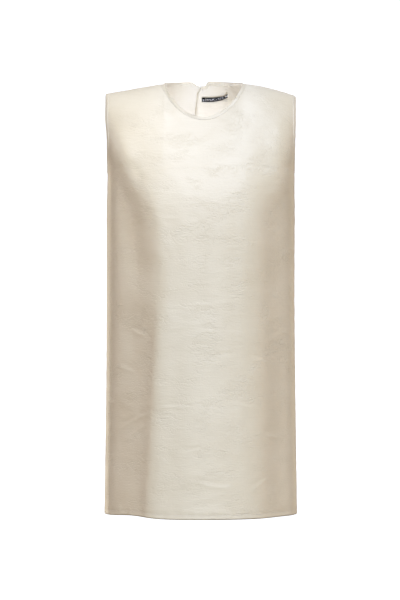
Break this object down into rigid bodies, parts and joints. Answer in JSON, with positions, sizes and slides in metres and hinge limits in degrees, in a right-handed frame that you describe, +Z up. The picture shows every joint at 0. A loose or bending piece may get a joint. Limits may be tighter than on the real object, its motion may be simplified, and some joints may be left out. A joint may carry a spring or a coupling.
{
  "type": "sleeveless tunic top",
  "caption": "Sleeveless thigh-length tunic top with a bound scoop neck, bound armholes, turned hem and a button-and-loop slit at the back neck, filled out as worn.",
  "frame": {"origin": "on the centre back plane, level with the points where the shoulder seams reach the neck and in the plane of those seams: where the wearer's shoulders hold the cloth", "axes": "+Z up, -Y the way the front faces, +X the wearer's left"},
  "size_m": [0.3842, 0.2405, 0.8687],
  "materials": {
    "cloth": "washed, slubby silk and linen weave with a soft satin sheen",
    "binding_cloth": "the same cloth cut on the bias and folded over the edge",
    "button_pearl": "pearly, polished",
    "loop_thread": "twisted thread",
    "label_weave": "dense woven tape, matt"
  },
  "bodies": {
    "root": {"front": "cloth", "back_left": "cloth", "back_right": "cloth", "neck_binding": "binding_cloth", "armhole_binding_left": "binding_cloth", "armhole_binding_right": "binding_cloth", "button": "button_pearl", "button_loop": "loop_thread", "label": "label_weave"}
  },
  "joints": []
}
